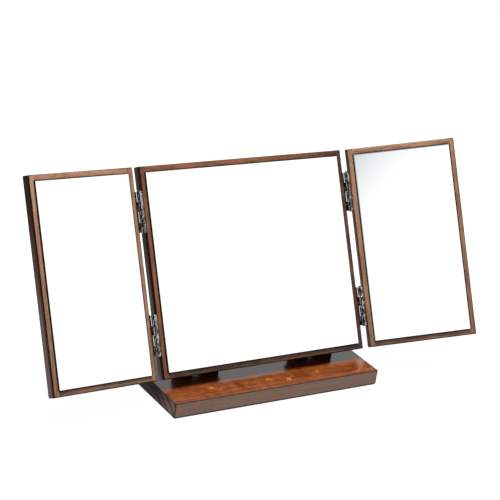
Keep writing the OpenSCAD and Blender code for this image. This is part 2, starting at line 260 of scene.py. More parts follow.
def side_wood(name, band_low, band_high, low, high):
    """The sides and the backs of the members: a dark reddish band behind the front face, then a greyer brown that is a
    painted reflection of the pale surroundings; both are lighter low down and darkest towards the panel's top, painted
    light and shade by height, and darker still at the rear edge. Attributes: dep, the depth behind the front; hgt, 0 to
    1."""
    m = Mat(name)
    co, grain, broad, pore = wood_coords(m)
    wig = m.math("MULTIPLY", m.math("SUBTRACT", m.noise(m.scale(co, (60, 500, 500)), 1, 2, 0.5), 0.5), 0.0012)
    # painted light and shade by height: lighter low down, darker towards the top
    k = m.remap(m.math("ADD", m.attr("hgt"), m.math("MULTIPLY", m.math("SUBTRACT", broad, 0.5), 0.22)), 0.20, 0.92)
    back = m.mix(k, low, high)
    back = m.mix(m.math("MULTIPLY", m.remap(grain, 0.35, 0.7, 1, 0), 0.30), back, high)
    rear = m.remap(m.math("ADD", m.attr("dep"), wig), T - 0.0012, T - 0.0002)
    back = m.mix(m.math("MULTIPLY", rear, 0.8), back, (high[0]*0.6, high[1]*0.6, high[2]*0.6))
    band = m.mix(k, band_low, band_high)
    band = m.mix(m.math("MULTIPLY", m.remap(grain, 0.3, 0.7, 1, 0), 0.5), band, band_high)
    col = m.mix(m.remap(m.math("ADD", m.attr("dep"), wig), 0.0036, 0.0046), band, back)
    col = m.mix(m.math("MULTIPLY", pore, 0.4), col, (0.004, 0.002, 0.002))
    m.set(Base_Color=col, Roughness=m.math("ADD", m.remap(broad, 0.3, 0.7, 0.38, 0.50, False), m.math("MULTIPLY", pore, 0.12)), Specular_IOR_Level=0.015,
          Normal=m.bump(m.math("SUBTRACT", m.math("MULTIPLY", grain, 0.5), pore), 0.25, 0.0001))
    return m.m


def support_mat(name, dark, light, rough, spec, coat):
    """Lacquered wood: nearly black on the ears, a dark stain deepened by painted shade; grey-brown on the tongues, a
    painted highlight.
    """
    m = Mat(name)
    co, grain, broad, pore = wood_coords(m)
    col = m.mix(m.remap(grain, 0.32, 0.70), dark, light)
    col = m.mix(m.math("MULTIPLY", pore, 0.5), col, (0.0015, 0.0010, 0.0010))
    rg = m.math("ADD", m.remap(broad, 0.3, 0.7, rough - 0.04, rough + 0.04, False), m.math("MULTIPLY", pore, 0.12))
    m.set(Base_Color=col, Roughness=rg, IOR=1.5, Specular_IOR_Level=spec, Coat_Weight=coat, Coat_Roughness=0.12,
          Normal=m.bump(m.math("SUBTRACT", m.math("MULTIPLY", grain, 0.4), pore), 0.2, 0.0001))
    return m.m


# painted highlights: small bright glints where the top's figure catches the light: x, y, half length, half width,
# strength
PAINTED_FLECK_GLINTS = ((-0.0870, -0.0401, 0.0050, 0.0036, 0.75), (-0.0044, -0.0435, 0.0065, 0.0040, 0.50),
          (0.0216, -0.0504, 0.0042, 0.0030, 0.85), (0.0682, -0.0421, 0.0036, 0.0026, 0.80))


def base_wood_mat():
    m = Mat("base_wood_gloss")
    co = m.attr("wco", "Vector")
    warp = m.noise(m.scale(co, (9, 38, 38)), 1, 3, 0.55, out="Color")
    w = m.vmath("ADD", co, m.vmath("MULTIPLY", m.vmath("SUBTRACT", warp, (0.5, 0.5, 0.5)), (0.0, 0.012, 0.010)))
    # growth rings around a heart line far below the slab
    s = m.sep(w)
    dy, dz = m.math("SUBTRACT", s[1], 0.018), m.math("ADD", s[2], 0.085)
    rad = m.math("SQRT", m.math("ADD", m.math("MULTIPLY", dy, dy), m.math("MULTIPLY", dz, dz)))
    ring = m.noise(m.comb(m.math("MULTIPLY", s[0], 1.6), m.math("MULTIPLY", rad, 330.0), 0.0), 1, 4, 0.6)
    fine = m.noise(m.scale(w, (10, 1300, 1100)), 1, 3, 0.6)
    figure = m.noise(m.scale(w, (85, 34, 34), (2, 5, 1)), 1, 3, 0.55, 0.6)
    pores = m.remap(m.noise(m.scale(w, (75, 3000, 2600)), 1, 3, 0.6), 0.60, 0.74)
    v = m.math("ADD", m.math("MULTIPLY", ring, 0.55), m.math("MULTIPLY", fine, 0.25))
    v = m.math("ADD", v, m.math("MULTIPLY", figure, 0.38))
    v = m.math("ADD", v, m.math("MULTIPLY", m.math("SUBTRACT", m.noise(m.scale(w, (150, 240, 240), (1, 8, 2)), 1, 4, 0.65), 0.5), 0.55))
    v = m.remap(v, 0.40, 0.84)
    col = m.mix(v, (0.044, 0.0080, 0.0013), (0.128, 0.033, 0.0055))
    # painted highlights: a few small bright glints where the grain turns
    for x, y, rx, ry, k in PAINTED_FLECK_GLINTS:
        d = m.sep(m.scale(co, (1/rx, 1/ry, 1), (-x/rx, -y/ry, 0)))
        d = m.math("SQRT", m.math("ADD", m.math("MULTIPLY", d[0], d[0]), m.math("MULTIPLY", d[1], d[1])))
        n = m.math("MULTIPLY", m.remap(d, 0.2, 1.15, 1, 0), m.remap(m.noise(m.scale(co, (620, 900, 900)), 1, 3, 0.7), 0.42, 0.60))
        col = m.mix(m.math("MULTIPLY", n, k), col, (0.420, 0.170, 0.050))
    col = m.mix(m.math("MULTIPLY", pores, 0.45), col, (0.012, 0.003, 0.001))
    # the front and end faces are browner and duller than the top
    up = m.attr("up")
    sidecol = m.mix(m.remap(m.math("ADD", m.math("MULTIPLY", ring, 0.5), m.math("MULTIPLY", fine, 0.5)), 0.35, 0.65),
                    (0.100, 0.034, 0.0090), (0.145, 0.052, 0.0160))
    mott = m.noise(m.scale(co, (190, 90, 260), (6, 6, 1)), 1, 4, 0.65)
    sidecol = m.mix(m.remap(mott, 0.40, 0.66, 0, 0.42), sidecol, (0.070, 0.024, 0.0075))
    sidecol = m.mix(m.math("MULTIPLY", pores, 0.35), sidecol, (0.010, 0.004, 0.003))
    col = m.mix(up, sidecol, col)
    # darker along the arrises, and a touch of wear shows on them
    e = m.attr("e_out")
    line = m.remap(e, 0.0002, 0.0016, 1, 0)
    col = m.mix(m.math("MULTIPLY", line, 0.72), col, (0.016, 0.005, 0.002))
    wear = m.math("MULTIPLY", m.remap(e, 0.0, 0.0006, 1, 0), m.remap(m.noise(m.scale(co, (26, 160, 160), (7, 0, 0)), 1, 4, 0.7), 0.56, 0.72))
    col = m.mix(m.math("MULTIPLY", wear, 0.55), col, (0.20, 0.115, 0.065))
    rg = m.math("ADD", m.math("MULTIPLY", m.math("SUBTRACT", 1.0, up), 0.16), m.remap(figure, 0.3, 0.7, 0.16, 0.24, False))
    rg = m.math("ADD", rg, m.math("MULTIPLY", pores, 0.10))
    orange_peel = m.noise(m.scale(co, (260, 260, 260)), 1, 2, 0.5)
    h = m.math("ADD", m.math("MULTIPLY", m.math("SUBTRACT", 1.0, pores), 0.8), m.math("MULTIPLY", orange_peel, 2.6))
    m.set(Base_Color=col, Roughness=rg, IOR=1.5, Coat_Weight=0.30, Coat_Roughness=0.10, Normal=m.bump(h, 0.20, 0.0001))
    return m.m


def base_end_mat():
    """End grain: growth rings cut across, and open pores."""
    m = Mat("base_end_grain")
    co = m.attr("wco", "Vector")
    warp = m.noise(m.scale(co, (30, 30, 30)), 1, 3, 0.55, out="Color")
    w = m.vmath("ADD", co, m.vmath("MULTIPLY", m.vmath("SUBTRACT", warp, (0.5, 0.5, 0.5)), (0.0, 0.006, 0.006)))
    s = m.sep(w)
    dy, dz = m.math("SUBTRACT", s[1], 0.018), m.math("ADD", s[2], 0.085)
    rad = m.math("SQRT", m.math("ADD", m.math("MULTIPLY", dy, dy), m.math("MULTIPLY", dz, dz)))
    ring = m.noise(m.comb(0.0, m.math("MULTIPLY", rad, 300.0), 0.0), 1, 4, 0.6)
    pore = m.remap(m.noise(m.scale(co, (2200, 2200, 2200)), 1, 2, 0.6), 0.58, 0.70)
    # painted light and shade: paler towards the front and the lower edge, nearly black at the back
    pale = m.math("ADD", m.remap(s[1], -0.064, -0.010, 0.85, 0.0), m.remap(s[2], 0.004, 0.019, 0.25, -0.10))
    hi = m.mix(pale, (0.020, 0.0095, 0.0065), (0.235, 0.150, 0.120))
    col = m.mix(m.remap(ring, 0.42, 0.58), (0.0070, 0.0030, 0.0018), hi)
    col = m.mix(m.math("MULTIPLY", pore, 0.5), col, (0.004, 0.002, 0.001))
    m.set(Base_Color=col, Roughness=m.remap(ring, 0.3, 0.7, 0.5, 0.62, False), Specular_IOR_Level=0.04, Normal=m.bump(m.math("SUBTRACT", ring, pore), 0.35, 0.00015))
    return m.m


def plywood_mat():
    m = Mat("stained_plywood")
    co = m.attr("wco", "Vector")
    warp = m.noise(m.scale(co, (5, 24, 24)), 1, 3, 0.55, out="Color")
    w = m.vmath("ADD", co, m.vmath("MULTIPLY", m.vmath("SUBTRACT", warp, (0.5, 0.5, 0.5)), (0.0, 0.030, 0.0)))
    s = m.sep(w)
    # rotary-cut face veneer: long nested loops
    cath = m.noise(m.comb(m.math("MULTIPLY", s[0], 2.2), m.math("MULTIPLY", s[1], 95.0), 0.3), 1, 4, 0.58)
    fine = m.noise(m.scale(w, (9, 900, 900)), 1, 3, 0.6)
    pores = m.remap(m.noise(m.scale(w, (60, 2400, 2400)), 1, 3, 0.6), 0.60, 0.72)
    v = m.remap(m.math("ADD", m.math("MULTIPLY", cath, 0.75), m.math("MULTIPLY", fine, 0.35)), 0.36, 0.74)
    col = m.mix(v, (0.030, 0.0125, 0.0065), (0.078, 0.036, 0.0185))
    blot = m.noise(m.scale(co, (7, 7, 7), (1, 2, 3)), 1, 3, 0.5)
    col = m.mix(m.remap(blot, 0.42, 0.72, 0, 0.35), col, (0.022, 0.009, 0.005))
    col = m.mix(m.math("MULTIPLY", pores, 0.5), col, (0.009, 0.004, 0.0025))
    rg = m.math("ADD", m.remap(blot, 0.3, 0.7, 0.42, 0.52, False), m.math("MULTIPLY", pores, 0.15))
    h = m.math("SUBTRACT", m.math("MULTIPLY", fine, 0.5), pores)
    m.set(Base_Color=col, Roughness=rg, IOR=1.45, Coat_Weight=0.12, Coat_Roughness=0.3, Normal=m.bump(h, 0.35, 0.00012))
    return m.m


def metal_mat(name, col, rough, brush=(400, 400, 400), tarnish_and_painted_reflection=0.35, bump=0.05, blotch=(130, 130, 130), dark=None):
    m = Mat(name)
    co = m.obj()
    fine = m.noise(m.scale(co, brush), 1, 4, 0.6)
    blot = m.noise(m.scale(co, blotch, (2, 7, 4)), 1, 4, 0.6)
    scr = m.remap(m.noise(m.scale(co, (2600, 420, 420), (5, 5, 5)), 1, 2, 0.6), 0.66, 0.78)
    # with dark given, high-contrast dark blotches stand in for the dark and bright reflections on the knuckles: painted
    # reflection
    if dark:
        c = m.mix(m.math("MULTIPLY", m.remap(blot, 0.42, 0.54), tarnish_and_painted_reflection), col, dark)
    else:
        c = m.mix(m.math("MULTIPLY", m.remap(blot, 0.50, 0.75), tarnish_and_painted_reflection), col, (col[0]*0.50, col[1]*0.46, col[2]*0.40))
    c = m.mix(m.math("MULTIPLY", scr, 0.25), c, (0.93, 0.92, 0.90))
    rg = m.math("ADD", m.remap(fine, 0.3, 0.7, rough*0.7, rough*1.35, False), m.math("MULTIPLY", m.remap(blot, 0.5, 0.8), 0.12))
    m.set(Base_Color=c, Metallic=1.0, Roughness=rg, Normal=m.bump(m.math("SUBTRACT", fine, scr), bump, 0.00004))
    return m.m


def mirror_mat():
    m = Mat("silvered_glass_face")
    co = m.obj()
    haze = m.noise(m.scale(co, (9, 9, 9), (1, 3, 2)), 1, 4, 0.6)
    dust = m.remap(m.noise(m.scale(co, (1500, 1500, 1500)), 1, 2, 0.5), 0.70, 0.80)
    # the silvering greys a little right at the glass's edges
    e = m.remap(m.attr("e_out"), 0.0, 0.0004, 1, 0)
    col = m.mix(m.math("MULTIPLY", e, 0.25), (0.980, 0.985, 0.985), (0.80, 0.84, 0.84))
    col = m.mix(m.remap(haze, 0.4, 0.8, 0, 0.35), col, (0.968, 0.974, 0.980))
    rg = m.math("ADD", m.remap(haze, 0.35, 0.75, 0.004, 0.016, False), m.math("MULTIPLY", dust, 0.02))
    m.set(Base_Color=col, Metallic=1.0, Roughness=rg)
    return m.m


def glass_edge_mat():
    m = Mat("glass_edge")
    co = m.obj()
    n = m.noise(m.scale(co, (300, 900, 300)), 1, 3, 0.6)
    col = m.mix(m.remap(n, 0.35, 0.65), (0.006, 0.009, 0.0085), (0.020, 0.030, 0.027))
    m.set(Base_Color=col, Roughness=m.remap(n, 0.3, 0.7, 0.18, 0.34, False), IOR=1.5, Normal=m.bump(n, 0.1, 0.00005))
    return m.m


def paint_back_mat():
    m = Mat("mirror_back_paint")
    n = m.noise(m.scale(m.obj(), (220, 220, 220)), 1, 4, 0.6)
    m.set(Base_Color=m.mix(m.remap(n, 0.3, 0.7), (0.14, 0.13, 0.12), (0.20, 0.19, 0.18)), Roughness=m.remap(n, 0.3, 0.7, 0.5, 0.65, False), Normal=m.bump(n, 0.2, 0.00005))
    return m.m


def felt_mat():
    m = Mat("black_felt")
    co = m.obj()
    fib = m.noise(m.scale(co, (1400, 1400, 1400)), 1, 5, 0.75, 1.2)
    blot = m.noise(m.scale(co, (160, 160, 160)), 1, 3, 0.6)
    strands = m.noise(m.scale(co, (3200, 600, 1800), (3, 1, 2)), 1, 3, 0.7, 2.0)
    v = m.math("ADD", m.math("MULTIPLY", fib, 0.6), m.math("MULTIPLY", strands, 0.4))
    col = m.mix(m.remap(v, 0.32, 0.70), (0.005, 0.0045, 0.0045), (0.028, 0.025, 0.024))
    col = m.mix(m.remap(blot, 0.4, 0.7, 0, 0.3), col, (0.022, 0.019, 0.018))
    m.set(Base_Color=col, Roughness=m.remap(v, 0.3, 0.7, 0.86, 0.97, False), Sheen_Weight=0.04, Sheen_Roughness=0.45, Specular_IOR_Level=0.1, Normal=m.bump(v, 0.8, 0.0004))
    return m.m


def plain_mat(name, a, b, scale, r0, r1, bump=0.2, dist=0.0001):
    m = Mat(name)
    n = m.noise(m.scale(m.obj(), scale), 1, 4, 0.6)
    m.set(Base_Color=m.mix(m.remap(n, 0.35, 0.68), a, b), Roughness=m.remap(n, 0.3, 0.7, r0, r1, False), Normal=m.bump(n, bump, dist))
    return m.m


MAT = {
    "centre": frame_wood("centre_frame_wood", (0.122, 0.046, 0.018), (0.023, 0.0075, 0.0042), 0.36, 0.22, 0.06),
    "wing": frame_wood("wing_frame_wood", (0.202, 0.104, 0.056), (0.058, 0.024, 0.013), 0.38, 0.25, 0.06),
    # the frames' arris materials: near-black painted shade along the front edges
    "centre_line": line_wood("centre_frame_arris", (0.0040, 0.0014, 0.0009), (0.050, 0.022, 0.012)),
    "wing_line": line_wood("wing_frame_arris", (0.0046, 0.0018, 0.0011), (0.085, 0.045, 0.024)),
    # the side materials: the greyer backs are painted reflection, lighter low down as painted light
    "centre_side": side_wood("centre_frame_side", (0.034, 0.010, 0.006), (0.024, 0.007, 0.004), (0.150, 0.118, 0.112), (0.075, 0.048, 0.042)),
    "wing_side": side_wood("wing_frame_side", (0.100, 0.038, 0.020), (0.034, 0.009, 0.0045), (0.170, 0.118, 0.106), (0.028, 0.012, 0.010)),
    # the ears: nearly black, partly painted shade from under the panel; the tongues: grey-brown standing in for the
    # grey highlight on their rounded fronts, a painted highlight
    "support": support_mat("support_wood", (0.0030, 0.0020, 0.0020), (0.0080, 0.0048, 0.0042), 0.32, 0.08, 0.0),
    "tongue": support_mat("tongue_wood_painted_highlight", (0.100, 0.078, 0.073), (0.175, 0.140, 0.130), 0.36, 0.4, 0.1),
    "base": base_wood_mat(),
    "base_end": base_end_mat(),
    "ply": plywood_mat(),
    "mirror": mirror_mat(),
    "glass_edge": glass_edge_mat(),
    "paint": paint_back_mat(),
    # the hinge: nickel whose dark blotches are painted reflection
    "hinge": metal_mat("nickel_hinge", (0.50, 0.485, 0.465), 0.12, tarnish_and_painted_reflection=0.93, blotch=(360, 360, 150), dark=(0.045, 0.036, 0.031)),
    "black": metal_mat("blackened_steel", (0.050, 0.047, 0.045), 0.30, tarnish_and_painted_reflection=0.5),
    "base_arris": line_wood("base_arris", (0.0150, 0.0045, 0.0020), (0.165, 0.085, 0.045)),
    "steel": metal_mat("nickel_fastener", (0.62, 0.60, 0.57), 0.20, tarnish_and_painted_reflection=0.4),
    "felt": felt_mat(),
    "fibre": plain_mat("fibre_washer", (0.010, 0.006, 0.005), (0.030, 0.018, 0.014), (900, 900, 900), 0.55, 0.75),
    "tape": plain_mat("foam_tape", (0.55, 0.55, 0.52), (0.72, 0.72, 0.69), (1200, 1200, 1200), 0.8, 0.95, 0.6, 0.0002),
}


# ------------------------------------------------------------------ mesh helpers
def mesh_object(name, verts, faces, matrix, mats, face_mats=None, attrs=None, sharp=32):
    me = bpy.data.meshes.new(name)
    me.from_pydata([tuple(matrix @ Vector(v)) for v in verts], [], faces)
    me.update()
    for k, (kind, vals) in (attrs or {}).items():
        at = me.attributes.new(k, kind, "POINT")
        if kind == "FLOAT":
            at.data.foreach_set("value", [float(v) for v in vals])
        else:
            at.data.foreach_set("vector", [float(c) for v in vals for c in v])
    for m in mats:
        me.materials.append(m)
    if face_mats:
        me.polygons.foreach_set("material_index", face_mats)
    bm = bmesh.new()
    bm.from_mesh(me)
    bmesh.ops.recalc_face_normals(bm, faces=bm.faces)
    lim = math.radians(sharp)
    for f in bm.faces:
        f.smooth = True
    for e in bm.edges:
        e.smooth = len(e.link_faces) == 2 and e.calc_face_angle(0) < lim
    bm.to_mesh(me)
    bm.free()
    o = bpy.data.objects.new(name, me)
    scene.collection.objects.link(o)
    w = o.modifiers.new("weighted", "WEIGHTED_NORMAL")
    w.keep_sharp = True
    w.weight = 80
    return o


def ease(d, w, h, r=0.22*MM):
    """How far a face drops back at a distance d from its edge: a chamfer w wide and h deep with soft ends."""
    a = h*(1 - d/w)
    e = 0.5*(a + math.sqrt(a*a + (0.07*MM)**2))
    if d < r:
        e += 0.20*MM*(1 - d/r)**2
    return e if d < w + 0.5*MM else 0.0


def profile(points, u):
    """A value read off a list of (position, value) pairs, with straight lines between them."""
    for (u0, v0), (u1, v1) in zip(points, points[1:]):
        if u <= u1:
            return v0 + (v1 - v0)*max(0.0, u - u0)/(u1 - u0)
    return points[-1][1]


def member(name, node, body, matrix, outer, inner_dir, along, l0, l1, is_stile, mats, seed, tone_and_light, warm, line_out, line_in):
    """A frame member as a lofted bar with eased arrises.
    outer: its outer edge's coordinate across the member; inner_dir: +1 or -1, towards the panel's middle;
    along: "z" for a stile, "x" for a rail; l0 to l1: its length; line_out and line_in: how wide the dark
    arrises of painted shade run on its front; tone: its lightness along its length, partly the wood's own and
    partly painted light and shade, as (position, tone) pairs."""
    A = sorted({0, 0.08, 0.22, 0.5, 0.85, 1.2, 1.7, 3.75, 5.8, 6.3, 6.65, 7.0, 7.28, 7.42, 7.5, line_out, 7.5 - line_in})
    A = [a*MM for a in A]
    lo_w, li_w = line_out*MM, line_in*MM
    end_w = min(line_out, 0.9)
    L = l1 - l0
    if is_stile:
        S = sorted({0, .08, .22, .5, .85, 1.2, 1.7, 4, 7.5, 7.9, 9, end_w})
        S = [s*MM for s in S]
    else:
        S = [s*MM for s in (0, .06, .2, .5, 2)]
    st = S + [L*k/8 for k in range(1, 8)] + [L - s for s in reversed(S)]
    verts, e_out, e_in, dep, wco, hgt, tones_and_light = [], [], [], [], [], [], []
    off = (seed*0.731, seed*0.213, seed*0.117)
    nA = len(A)
    masks = []
    for s in st:
        end = min(s, L - s)
        mask = 1.0
        if is_stile:
            mask = 0.0 if end <= FW + 1e-9 else min(1.0, (end - FW)/(0.4*MM))
        masks.append(mask)
        fe = ease(end, EASE_W, EASE_D) if is_stile else ease(end, 0.3*MM, 0.14*MM, 0.1*MM)
        be = ease(end, BACK_EASE, BACK_EASE) if is_stile else ease(end, 0.3*MM, 0.14*MM, 0.1*MM)
        for side in (0, 1):
            for a in A:
                if side == 0:
                    b = max(ease(a, EASE_W, EASE_D), ease(FW - a, EASE_W, EASE_D)*mask, fe)
                else:
                    b = T - max(ease(a, BACK_EASE, BACK_EASE), be)
                lo, ac = l0 + s, outer + inner_dir*a
                v = (ac, b, lo) if along == "z" else (lo, b, ac)
                verts.append(v)
                e_out.append(min(a, end) if is_stile else a)
                e_in.append(FW - a if mask > 0 and line_in > 0 else FW)
                dep.append(b)
                hgt.append(v[2]/PH)
                tones_and_light.append(profile(tone_and_light, s/L))
                wco.append((lo + off[0], ac*inner_dir + off[1], b + off[2]))
    faces, fm = [], []
    P = 2*nA
    n_st = len(st)
    for i in range(n_st - 1):
        p, q = i*P, (i + 1)*P
        mid = (st[i] + st[i + 1])/2
        end = min(mid, L - mid)
        open_in = min(masks[i], masks[i + 1]) > 0 or max(masks[i], masks[i + 1]) >= 1
        for j in range(nA - 1):
            a = (A[j] + A[j + 1])/2
            # faces inside the dark front lines take the arris material, painted shade
            line = a < lo_w or (open_in and FW - a < li_w) or (is_stile and end < end_w*MM)
            faces.append((p + j, p + j + 1, q + j + 1, q + j))
            fm.append(1 if line else 0)
            faces.append((p + nA + j + 1, p + nA + j, q + nA + j, q + nA + j + 1))
            fm.append(2)
        faces.append((p, q, q + nA, p + nA))
        fm.append(2)
        faces.append((p + nA - 1, p + P - 1, q + P - 1, q + nA - 1))
        fm.append(1)
    for base, flip in ((0, False), ((n_st - 1)*P, True)):
        for j in range(nA - 1):
            f = (base + j, base + nA + j, base + nA + j + 1, base + j + 1)
            faces.append(tuple(reversed(f)) if flip else f)
            fm.append(2)
    n = len(verts)
    o = mesh_object(name, verts, faces, matrix, mats, fm, attrs={
        "e_out": ("FLOAT", e_out), "e_in": ("FLOAT", e_in), "dep": ("FLOAT", dep), "hgt": ("FLOAT", hgt),
        "wco": ("FLOAT_VECTOR", wco), "tone_and_light": ("FLOAT", tones_and_light), "warm": ("FLOAT", [warm]*n)})
    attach(o, body)
    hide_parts(node)
    return o


def bevelled_box(name, lo, hi, matrix, mats, radius, segs, classify=None, attr_fn=None, cuts=None):
    """A box with rounded arrises; classify(normal) gives each face's material, attr_fn(co) its attributes."""
    bm = bmesh.new()
    bmesh.ops.create_cube(bm, size=1.0)
    lo, hi = Vector(lo), Vector(hi)
    for v in bm.verts:
        v.co = Vector([(lo[i] + hi[i])/2 + v.co[i]*(hi[i] - lo[i]) for i in range(3)])
    if cuts:
        for axis, vals in cuts.items():
            for val in vals:
                no = Vector([1.0 if i == axis else 0.0 for i in range(3)])
                co = Vector([val if i == axis else 0.0 for i in range(3)])
                geom = bm.verts[:] + bm.edges[:] + bm.faces[:]
                bmesh.ops.bisect_plane(bm, geom=geom, plane_co=co, plane_no=no)
    edges = [e for e in bm.edges if e.calc_face_angle(0) > 1]
    bmesh.ops.bevel(bm, geom=edges, offset=radius, segments=segs, profile=0.5, affect="EDGES", clamp_overlap=True)
    bmesh.ops.recalc_face_normals(bm, faces=bm.faces)
    verts = [v.co.copy() for v in bm.verts]
    faces = [tuple(v.index for v in f.verts) for f in bm.faces]
    fm = [classify(f.normal) if classify else 0 for f in bm.faces]
    bm.free()
    attrs = {}
    if attr_fn:
        rows = [attr_fn(v) for v in verts]
        for k in rows[0]:
            kind = "FLOAT_VECTOR" if isinstance(rows[0][k], tuple) else "FLOAT"
            attrs[k] = (kind, [r[k] for r in rows])
    return mesh_object(name, verts, faces, matrix, mats, fm, attrs)


def from_cad(name, node, body, mats, matrix=I4, bevel=0.15*MM, segs=2, wood=None, angle=35):
    """A bevelled, clean copy of a CAD node's own shape."""
    me = NODES[node].data.copy()
    me.name = name
    bm = bmesh.new()
    bm.from_mesh(me)
    bmesh.ops.remove_doubles(bm, verts=bm.verts, dist=2e-6)
    bmesh.ops.dissolve_limit(bm, angle_limit=math.radians(0.4), verts=bm.verts, edges=bm.edges)
    bmesh.ops.recalc_face_normals(bm, faces=bm.faces)
    lim = math.radians(angle)
    for f in bm.faces:
        f.smooth = True
        f.material_index = 0
    for e in bm.edges:
        e.smooth = len(e.link_faces) == 2 and e.calc_face_angle(0) < lim
    bm.to_mesh(me)
    bm.free()
    me.materials.clear()
    for m in mats:
        me.materials.append(m)
    if wood:
        inv = matrix.inverted()
        rows = [wood(inv @ v.co) for v in me.vertices]
        for k in rows[0]:
            vec = isinstance(rows[0][k], tuple)
            at = me.attributes.new(k, "FLOAT_VECTOR" if vec else "FLOAT", "POINT")
            if vec:
                at.data.foreach_set("vector", [float(c) for r in rows for c in r[k]])
            else:
                at.data.foreach_set("value", [float(r[k]) for r in rows])
    o = bpy.data.objects.new(name, me)
    scene.collection.objects.link(o)
    if bevel:
        b = o.modifiers.new("bevel", "BEVEL")
        b.limit_method = "ANGLE"
        b.angle_limit = lim
        b.width = bevel
        b.segments = segs
        b.use_clamp_overlap = True
        b.harden_normals = True
    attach(o, body)
    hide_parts(node)
    return o


# ------------------------------------------------------------------ panels
def panel(tag, body, matrix, s, width, mat, tones_and_light, first_seed):
    """tag: node name stem; s: +1 or -1, the direction of local x away from the hinge edge.
    tones: (hinge or left stile, free or right stile, top rail, bottom rail), each (tone pairs from the bottom
    or the left end, warm, line_out, line_in); the tone pairs hold painted light and shade as well as the wood's own
    lightness, and line_out and line_in set how wide the painted shade runs along the front edges."""
    centre = tag == "centre"
    if centre:
        x_left, x_right = -width/2, width/2
        a_name, b_name = "centre_left_stile", "centre_right_stile"
        pieces = [
            (a_name, x_left, 1, "z", 0, PH, True), (b_name, x_right, -1, "z", 0, PH, True),
            ("centre_top_rail", PH, -1, "x", x_left + FW, x_right - FW, False),
            ("centre_bottom_rail", 0, 1, "x", x_left + FW, x_right - FW, False)]
    else:
        x0, x1 = sorted((0.0, s*width))
        x_left, x_right = x0, x1
        pieces = [
            (tag + "_hinge_stile", 0.0, s, "z", 0, PH, True), (tag + "_free_stile", s*width, -s, "z", 0, PH, True),
            (tag + "_top_rail", PH, -1, "x", x0 + FW, x1 - FW, False),
            (tag + "_bottom_rail", 0, 1, "x", x0 + FW, x1 - FW, False)]
    for i, (node, outer, d, along, l0, l1, st) in enumerate(pieces):
        o = member(node + "_wood", node, body, matrix, outer, d, along, l0, l1, st, mat, first_seed + i, *tones_and_light[i])

    # silvered glass
    c = 0.3*MM
    lo = (x_left + FW + c, GLASS_Y, FW + c)
    hi = (x_right - FW - c, GLASS_Y + GLASS_T, PH - FW - c)
    gx0, gx1, gz0, gz1 = lo[0], hi[0], lo[2], hi[2]

    def g_attr(v):
        return {"e_out": max(0.0, min(v.x - gx0, gx1 - v.x, v.z - gz0, gz1 - v.z))}
    cuts = {0: [gx0 + 1.6*MM, gx1 - 1.6*MM], 2: [gz0 + 1.6*MM, gz1 - 1.6*MM]}
    o = bevelled_box(tag + "_silvered_glass", lo, hi, matrix, [MAT["mirror"], MAT["glass_edge"], MAT["paint"]], 0.18*MM, 2,
                     lambda n: 0 if n.y < -0.999 else (2 if n.y > 0.999 else 1), g_attr, cuts)
    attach(o, body)
    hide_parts(tag + "_mirror_glass")

    # back board
    b0 = GLASS_Y + GLASS_T + TAPE_T
    e = 0.12*MM
    o = bevelled_box(tag + "_plywood_back", (x_left + FW + e, b0, FW + e), (x_right - FW - e, T - 0.15*MM, PH - FW - e), matrix,
                     [MAT["ply"]], 0.4*MM, 2, None, lambda v: {"wco": (v.z + first_seed*1.3, v.x + first_seed*0.7, v.y)})
    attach(o, body)
    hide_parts(tag + "_back_board")


CENTRE_MATS = [MAT["centre"], MAT["centre_line"], MAT["centre_side"]]
WING_MATS = [MAT["wing"], MAT["wing_line"], MAT["wing_side"]]
# each member: its lightness along its length, with painted light on the top rails and painted shade on the bottom
# rails; its warmth; and how wide the painted shade runs along its outer and inner front edges
panel("centre", "centre_panel", M_C, 1, CW, CENTRE_MATS,
      [([(0, 0.62), (0.45, 0.86), (0.75, 0.62), (1, 0.36)], 0.2, 1.9, 0.5), ([(0, 0.12), (1, 0.12)], 0.1, 0.9, 1.6),
       ([(0, 0.50), (0.3, 0.68), (0.7, 0.52), (1, 0.26)], 0.7, 0.5, 0.0), ([(0, 0.32), (0.7, 0.34), (1, 0.06)], 0.1, 0.9, 0.5)], 1)
panel("left_wing", "left_wing", M_L, -1, WW, WING_MATS,
      [([(0, 0.44), (1, 0.48)], 0.4, 1.1, 2.0), ([(0, 0.54), (1, 0.74)], 0.3, 1.5, 0.5),
       ([(0, 0.66), (1, 0.66)], 0.6, 0.5, 0.0), ([(0, 0.34), (0.5, 0.32), (1, 0.40)], 0.2, 0.8, 0.5)], 11)
panel("right_wing", "right_wing", M_R, 1, WW, WING_MATS,
      [([(0, 0.50), (0.6, 0.68), (1, 0.76)], 0.3, 0.9, 0.5), ([(0, 0.46), (1, 0.50)], 0.4, 1.0, 1.6),
       ([(0, 0.56), (1, 0.54)], 0.5, 0.5, 0.0), ([(0, 0.36), (0.6, 0.30), (1, 0.30)], 0.2, 0.9, 0.5)], 21)


# ------------------------------------------------------------------ base
def base_attrs(v):
    top = 1.0 if v.z > BASE_H - 0.02*MM else 0.0
    ex = min(v.x + BASE_W/2, BASE_W/2 - v.x)
    ey = min(v.y + BASE_D/2, BASE_D/2 - v.y)
    ez = BASE_H - v.z
    d = sorted((ex, ey, ez))
    return {"wco": (v.x, v.y, v.z), "up": top, "e_out": max(0.0, d[0] + d[1])}


def base_face(n):
    if max(abs(n.x), abs(n.y), abs(n.z)) > 0.999:
        return 1 if abs(n.x) > 0.9 else 0
    return 2


r = 0.8*MM
o = bevelled_box("base_slab", (-BASE_W/2, -BASE_D/2, FELT_T), (BASE_W/2, BASE_D/2, BASE_H), I4, [MAT["base"], MAT["base_end"], MAT["base_arris"]], r, 4, base_face, base_attrs,
                 {0: [-BASE_W/2 + 3*MM, BASE_W/2 - 3*MM], 1: [-BASE_D/2 + 3*MM, BASE_D/2 - 3*MM], 2: [FELT_T + 3*MM, BASE_H - 3*MM]})
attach(o, "base")
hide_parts("base_board")


